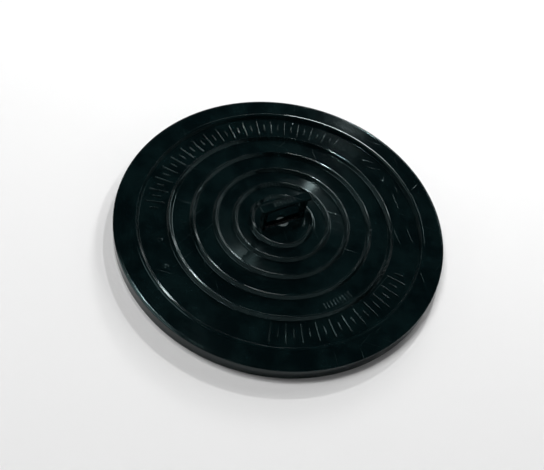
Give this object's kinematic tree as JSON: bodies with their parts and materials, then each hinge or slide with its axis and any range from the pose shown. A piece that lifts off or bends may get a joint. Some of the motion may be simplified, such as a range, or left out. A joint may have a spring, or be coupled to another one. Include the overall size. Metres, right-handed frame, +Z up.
{
  "type": "plastic inspection chamber cover",
  "caption": "Round moulded chamber cover with a flat rim, concentric raised rings and a pull handle that rises out of a slot in its hub.",
  "frame": {"origin": "centre of the skirt's bottom edge, on the cover's axis", "axes": "+Z up out of the chamber, +X along the handle's strip"},
  "size_m": [0.3, 0.3, 0.037],
  "materials": {
    "cover_plastic": "near-black moulded plastic, semi-gloss, with fine turned marks round the centre",
    "handle_plastic": "near-black moulded plastic, semi-gloss"
  },
  "bodies": {
    "cover": {"cover": "cover_plastic"},
    "handle": {"pull_handle": "handle_plastic"}
  },
  "joints": [
    {"name": "handle_slide", "type": "slide", "parent": "cover", "child": "handle", "axis": [0, 0, 1], "range_m": [-0.0243, 0]}
  ]
}
